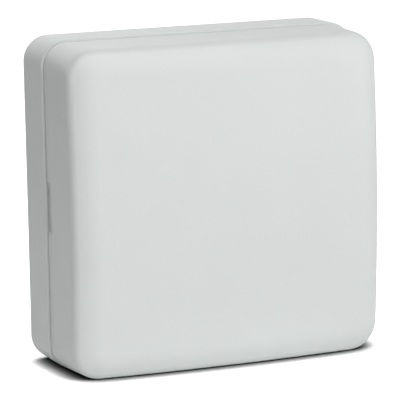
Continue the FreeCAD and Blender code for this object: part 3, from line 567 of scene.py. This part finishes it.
# Bare tinned pads: round the screws, under the leads, and three fiducial dots, each in a ring. A chip's pads
# have a reach from its middle and a size, and what is round has radii.
screw_hole, screw_pad = 1.36, 2.75
controller_reach, controller_pad = 4.3, (1.4, 0.46)
amplifier_reach, amplifier_pad = 2.9, (1.5, 0.64)
fiducial_places = ((-36.6, 60.5), (37.0, 13.6), (-37.0, 33.6))
fiducial_dot, fiducial_ring = 0.5, (0.95, 1.1)
pads = Piece()
for x, z in screw_places:
    pads.ring(x, z, screw_hole, screw_pad, pad_face, sunk)
for step in controller_steps:
    for reach in (-controller_reach, controller_reach):
        pads.slab(controller.x + reach, controller.z + step, *controller_pad, pad_face, sunk)
        pads.slab(controller.x + step, controller.z + reach, *controller_pad[::-1], pad_face, sunk)
for step in amplifier_steps:
    for reach in (-amplifier_reach, amplifier_reach):
        pads.slab(amplifier.x + reach, amplifier.z + step, *amplifier_pad, pad_face, sunk)
for x, z in fiducial_places:
    pads.turned(x, z, [(fiducial_dot, sunk), (fiducial_dot, pad_face)])
    pads.ring(x, z, *fiducial_ring, pad_face, sunk)
pads.finish("pads", by_slot["tinned_lead"])

# Solder on the leads and chip ends, and the tinned ends themselves: reaches from the middle, and sizes
controller_joint, controller_solder = 4.66, (0.5, 0.36)
amplifier_joint, amplifier_solder = 3.2, (0.7, 0.5)
solder = Piece()
for step in controller_steps:
    for reach in (-controller_joint, controller_joint):
        solder.mound(controller.x + reach, controller.z + step, *controller_solder, sunk, solder_face)
        solder.mound(controller.x + step, controller.z + reach, *controller_solder[::-1], sunk, solder_face)
for step in amplifier_steps:
    for reach in (-amplifier_joint, amplifier_joint):
        solder.mound(amplifier.x + reach, amplifier.z + step, *amplifier_solder, sunk, solder_face)
chip_end_reach, chip_end, chip_end_skin = 0.82, (1.29, 0.4), 0.02
chip_joint, chip_solder, chip_solder_share = 1.1, (1.36, 0.8), 0.6
chip_ends = Piece()
for xs, chips, height in ((resistor_xs, resistors, 0.5), (capacitor_xs, capacitors, 0.9)):
    for x in xs:
        for side in (-1, 1):
            end_face = face - height - chip_end_skin
            chip_ends.slab(x, chips.z + side * chip_end_reach, *chip_end, end_face, sunk)
            joint_face = face - chip_solder_share * height
            solder.mound(x, chips.z + side * chip_joint, *chip_solder, sunk, joint_face, 0.5)
chip_ends.finish("chip_ends", by_slot["tinned_lead"])

# Solder at the edge contacts of the radio board: nine on each side and eight along its foot
radio_joint_face = face - 0.9
for i in range(9):
    for side in (-1, 1):
        solder.mound(radio.x + side * 8.6, 57 + RADIO_PITCH * i, 0.9, 1.0, sunk, radio_joint_face, 0.6)
for i in range(8):
    solder.mound(-26 + RADIO_PITCH * i, 54.9, 1.0, 0.9, sunk, radio_joint_face, 0.6)

# Legs: each is a flat strip that sticks out of a part's foot, given by its two ends. The sensitivity switch
# has three below and two above, the enrol switch and the cover tamper have four each, and each can has two.
legs = [(x, 35.4, x, 36.4) for x in (29.5, 32.0, 34.5)] + [(x, 40.6, x, 41.6) for x in (29.5, 34.5)]
leg_out, leg_in, leg_row = 0.95, 0.1, 2.25
for part, reach in ((enrol, 3.1), (tamper, 4.0)):
    for side in (-1, 1):
        for z in (part.z - leg_row, part.z + leg_row):
            legs.append((part.x + side * (reach + leg_out), z, part.x + side * (reach - leg_in), z))
for x, z in can_places:
    legs += [(x + side * 4.15, z, x + side * 3.2, z) for side in (-1, 1)]
leg_width, leg_face, leg_solder_face = 0.62, face - 0.22, face - 0.17
leg_strips = Piece()
for x0, z0, x1, z1 in legs:
    leg_strips.strip([(x0, z0), (x1, z1)], leg_width, leg_face, sunk)
    solder.mound(x0, z0, 1.0, 1.0, sunk, leg_solder_face, 0.4)
leg_strips.finish("flat_legs", by_slot["tinned_lead"])

# Cones of solder round the wires and pins that go through the board, as pairs of radius and rise
cone = ((1.0, 0.0), (0.94, 0.06), (0.62, 0.24), (0.42, 0.5), (0.34, 0.8), (0.12, 0.86))
front_cone_share = 0.9
wire_feet = microphone_places + crystal_feet + [antenna_foot]
for x, z in wire_feet:
    solder.turned(x, z, [(r * front_cone_share, face - rise) for r, rise in cone])
holder_tabs = [(x, z) for x in (holder_low.x + 1.2, holder_high.x - 2.1) for z in (22.7, 27.7)]
lamp_legs = [(place.x + side * PIN_PITCH / 2, place.z) for place in lamp_places for side in (-1, 1)]
for x, z in pin_places + wire_feet + holder_tabs + lamp_legs:
    solder.turned(x, z, [(r, back + rise) for r, rise in cone])
solder.finish("solder", by_slot["tinned_lead"])

# The crystal's wires leave its end and bend down to the board: depth, and distance from the foot
crystal_path = ((-1.7, 1.6), (-1.7, 0.5), (-1.55, 0.15), (-1.2, 0.0), (0.02, 0.0))
crystal_wire_radius = 0.22
crystal_wires = Piece()
for x, z in crystal_feet:
    crystal_wires.wire([(x, face + depth, z + out) for depth, out in crystal_path], crystal_wire_radius)
crystal_wires.finish("crystal_wires", by_slot["tinned_lead"])

# The frames inside the lamps, which show through the resin: a post with a cup on it, and a thinner post
frame_foot = face - 0.3
cup = ((0.34, 2.38), (0.62, 3.0), (0.5, 3.02), (0.3, 2.75))
lamp_frames = Piece()
for place in lamp_places:
    x, z = place.x, place.z
    lamp_frames.block(x - 0.95, x - 0.15, face - 2.4, frame_foot, z - 0.3, z + 0.3)
    lamp_frames.turned(x - 0.5, z, [(radius, face - height) for radius, height in cup])
    lamp_frames.block(x + 0.3, x + 0.62, face - 2.85, frame_foot, z - 0.25, z + 0.25)
lamp_frames.finish("lamp_frames", by_slot["tinned_lead"])

# Rivet heads at the corners of the enrol switch frame
rivets = Piece()
frame_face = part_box("enrol_switch_frame")[0].y / MM
rivet_profile = ((0.42, -0.1), (0.42, 0.06), (0.34, 0.14), (0.12, 0.17))
rivet = [(radius, frame_face - rise) for radius, rise in rivet_profile]
rivet_reach = 2.45
for side_x in (-1, 1):
    for side_z in (-1, 1):
        rivets.turned(enrol.x + side_x * rivet_reach, enrol.z + side_z * rivet_reach, rivet)
rivets.finish("enrol_rivets", by_slot["screw_steel"])

# Printed marks: outlines, given by their middles and sizes, first-pin dots, rings, and the poles of the cell
outlines = [
    (controller.x, controller.z, 11.4, 11.4), (amplifier.x, amplifier.z, 8.6, 6.2),
    (radio.x, radio.z, 19.6, 22.0), (crystal.x, crystal.z, 5.6, 11.9), (selector.x, selector.z, 9.8, 7.4),
    (enrol.x, enrol.z, 9.6, 7.2), (tamper.x, tamper.z, 11.0, 8.9), (header.x, header.z, 8.5, 3.5),
    (-33.0, 24.5, 9.4, 14.8), (34.0, 57.1, 7.4, 27.0),
    ((holder_low.x + holder_high.x) / 2, (holder_low.z + holder_high.z) / 2, 45.4, 21.4),
]
for xs, chips in ((resistor_xs, resistors), (capacitor_xs, capacitors)):
    outlines += [(x, chips.z, 2.0, 3.9) for x in xs]
dot_places = (
    (controller.x - 6.3, controller.z + 4.6),
    (amplifier.x - 2.9, amplifier.z + 3.7),
    (header.x + 4.9, header.z),
)
line_width, dot_radius, lamp_ring, screw_ring = 0.16, 0.35, (2.12, 2.3), (3.15, 3.32)
minus, plus = [(1.8, 0.3)], [(1.8, 0.3), (0.3, 1.8)]
pole_z = 17.0
ink = Piece()
for i, (x, z, width, height) in enumerate(outlines):
    ink.outline(x, z, width, height, ink_face - i * LAYER_STEP, sunk, line_width)
for x, z in dot_places:
    ink.turned(x, z, [(dot_radius, sunk), (dot_radius, ink_face)])
for place in lamp_places:
    ink.ring(place.x, place.z, *lamp_ring, ink_face, sunk)
for x, bars in ((-22.6, minus), (27.0, plus)):
    for i, (width, height) in enumerate(bars):
        ink.strip([(x - width / 2, pole_z), (x + width / 2, pole_z)], height, ink_face - i * LAYER_STEP, sunk)
for x, z in screw_places:
    ink.ring(x, z, *screw_ring, ink_face, sunk)
ink.finish("printed_marks", mark_ink)

# The dark segment printed on each capacitor can, at its negative side
can_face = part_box("capacitor_cans")[0].y / MM
segment_radius, segment_points = 2.35, 15
segment_start, segment_turn = 0.64 * math.pi, 0.72 * math.pi
arc = [segment_start + segment_turn * i / (segment_points - 1) for i in range(segment_points)]
segment = [(segment_radius * math.cos(a), segment_radius * math.sin(a)) for a in arc]
can_marks = Piece()
for x, z in can_places:
    can_marks.prism([(x + along, z + up) for along, up in segment], can_face - 0.02, can_face + 0.05)
can_marks.finish("can_marks", by_slot["switch_plastic"])

# The spring of the wall tamper is copied into an object of its own, with its own mesh, which rides on the
# base, and the part's spring is hidden. The real spring shortens as the wall presses its plunger in.
spring_coil = bpy.data.objects.new("wall_tamper_coil", nodes["wall_tamper_spring"].data.copy())
bpy.context.scene.collection.objects.link(spring_coil)
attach(spring_coil, "base")
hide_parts("wall_tamper_spring")
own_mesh(spring_coil)

# The gauze in the sound slot of the cover, and the sloping sill at the lower end of the slot
slot_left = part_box("front_cover")[0].x / MM
slot_front, slot_rim = 0.4, 3.1
slot_low, slot_high = 36.35, 49.65
gauze_near, gauze_far = slot_left + 0.22, slot_left + 0.78
screen = Piece()
screen.block(gauze_near, gauze_far, slot_front + 0.03, slot_rim - 0.05, slot_low + 0.1, slot_high - 0.03)
screen.finish("slot_gauze", gauze, "cover")
sill_section = ((0.30, -0.75), (-0.02, -0.65), (-0.16, -0.25), (-0.16, -0.15), (0.30, 0.45))
sill = Piece()
sill.prism([(slot_left + x, slot_low + z) for x, z in sill_section], slot_front + 0.2, slot_rim - 0.6)
sill.finish("slot_sill", by_slot["cover_plastic"], "cover")


# Camera: the viewpoint found for the photograph
camera_place = Vector((-0.278450, -0.655605, 0.169803))
camera_aim = Vector((0.004147, 0.014718, 0.038985))
camera_roll = math.radians(1.0152)
look = (camera_aim - camera_place).normalized()
camera = bpy.data.objects.new("camera", bpy.data.cameras.new("camera"))
bpy.context.scene.collection.objects.link(camera)
camera.data.lens = 247.967
camera.data.sensor_width = 36
camera.data.clip_start = 0.01
camera.data.clip_end = 50
camera.rotation_mode = "QUATERNION"
camera.location = camera_place
camera.rotation_quaternion = Quaternion(look, camera_roll) @ look.to_track_quat("-Z", "Y")
bpy.context.scene.camera = camera
bpy.context.scene.view_settings.view_transform = "Standard"


# Studio

def shader_node(tree, kind, *inputs, **settings):
    """Adds a shader node whose first inputs are values or sockets to link."""
    node = tree.nodes.new("ShaderNode" + kind)
    for key, value in settings.items():
        setattr(node, key, value)
    for socket, value in zip(node.inputs, inputs):
        if isinstance(value, bpy.types.NodeSocket):
            tree.links.new(value, socket)
        else:
            socket.default_value = value
    return node.outputs[0]


def multiplied(tree, first, second):
    return shader_node(tree, "Math", first, second, operation="MULTIPLY")


def two_looks(tree, output, lighting, shown):
    """One shader for the light that a thing gives off, another for how camera, gloss and glass see it."""
    path = tree.nodes.new("ShaderNodeLightPath").outputs
    seen = path["Is Camera Ray"]
    for name in ("Is Glossy Ray", "Is Transmission Ray"):
        seen = shader_node(tree, "Math", seen, path[name])
    mixed = shader_node(tree, "MixShader", seen, lighting, shown)
    tree.links.new(mixed, tree.nodes[output].inputs["Surface"])


WHITE = (1, 1, 1, 1)
world = bpy.data.worlds.new("studio")
world.use_nodes = True
bpy.context.scene.world = world
unlit = shader_node(world.node_tree, "Background", WHITE, 0.0)
white = shader_node(world.node_tree, "Background", WHITE, 1.0)
two_looks(world.node_tree, "World Output", unlit, white)

# The floor is seen as white, apart from the object's shadow and the dark line where something touches it.
# That dark line is painted shade: ambient occlusion darkens the floor's colour and glow near the object.
# Near the object its white is partly the lamps' light, so that the shadow shows, and far off it isn't.
contact_reach = 8 * MM
hidden, open_to_light = 0.05, 0.83
contact_falloff = 2.5
near_edge, far_edge = 0.15, 0.8
near_glow, far_glow = 0.8, 1.0
lamp_gain = 1.8
floor_material = bpy.data.materials.new("floor")
floor_material.use_nodes = True
tree = floor_material.node_tree
# Painted shade: how open the floor is within a short reach darkens both its lit colour and its glow
ambient = shader_node(tree, "AmbientOcclusion", WHITE, contact_reach).node.outputs["AO"]
painted_shade_factor = shader_node(tree, "MapRange", ambient, hidden, open_to_light)
painted_shade_factor = shader_node(tree, "Math", painted_shade_factor, contact_falloff, operation="POWER")
floor_place = tree.nodes.new("ShaderNodeTexCoord").outputs["Object"]
distance = shader_node(tree, "VectorMath", floor_place, operation="LENGTH").node.outputs["Value"]
white_share = shader_node(tree, "MapRange", distance, near_edge, far_edge, near_glow, far_glow)
to_camera = tree.nodes.new("ShaderNodeLightPath").outputs["Is Camera Ray"]
glow = multiplied(tree, multiplied(tree, white_share, to_camera), painted_shade_factor)
lit = shader_node(tree, "BsdfDiffuse", multiplied(tree, painted_shade_factor, lamp_gain))
shown_floor = shader_node(tree, "AddShader", lit, shader_node(tree, "Emission", WHITE, glow))
two_looks(tree, "Material Output", shader_node(tree, "BsdfDiffuse", WHITE), shown_floor)
half_floor = 3.0
floor_mesh = bpy.data.meshes.new("floor")
floor_mesh.from_pydata([(x * half_floor, y * half_floor, 0) for x, y in CORNERS], [], [(0, 1, 2, 3)])
floor_mesh.materials.append(floor_material)
floor = bpy.data.objects.new("floor", floor_mesh)
bpy.context.scene.collection.objects.link(floor)

# Soft lamps: name, place, side length, power, and the point that each looks at
middle = (0, 0, 0.043)
rear_top = (0, 0, 0.08)
rear_top_left = (-0.03, 0.01, 0.086)
lamps = (
    ("front_top", (0, -1.061, 1.061), 0.8, 14.3, middle),
    ("front_right", (2.437, -2.437, 0.609), 1.6, 34.4, middle),
    ("left_back_top", (-0.866, 0.866, 0.866), 0.8, 2.3, middle),
    ("near_back", (0, 0.20, 0.30), 0.15, 0.211, rear_top),
    ("near_back_left", (-0.12, 0.14, 0.20), 0.1, 0.043, rear_top_left),
)
for name, place, size, power, target in lamps:
    data = bpy.data.lights.new(name, "AREA")
    data.shape = "SQUARE"
    data.size = size
    data.energy = power
    lamp = bpy.data.objects.new(name, data)
    lamp.location = place
    lamp.rotation_mode = "QUATERNION"
    lamp.rotation_quaternion = (Vector(target) - Vector(place)).to_track_quat("-Z", "Y")
    lamp.visible_camera = False
    bpy.context.scene.collection.objects.link(lamp)
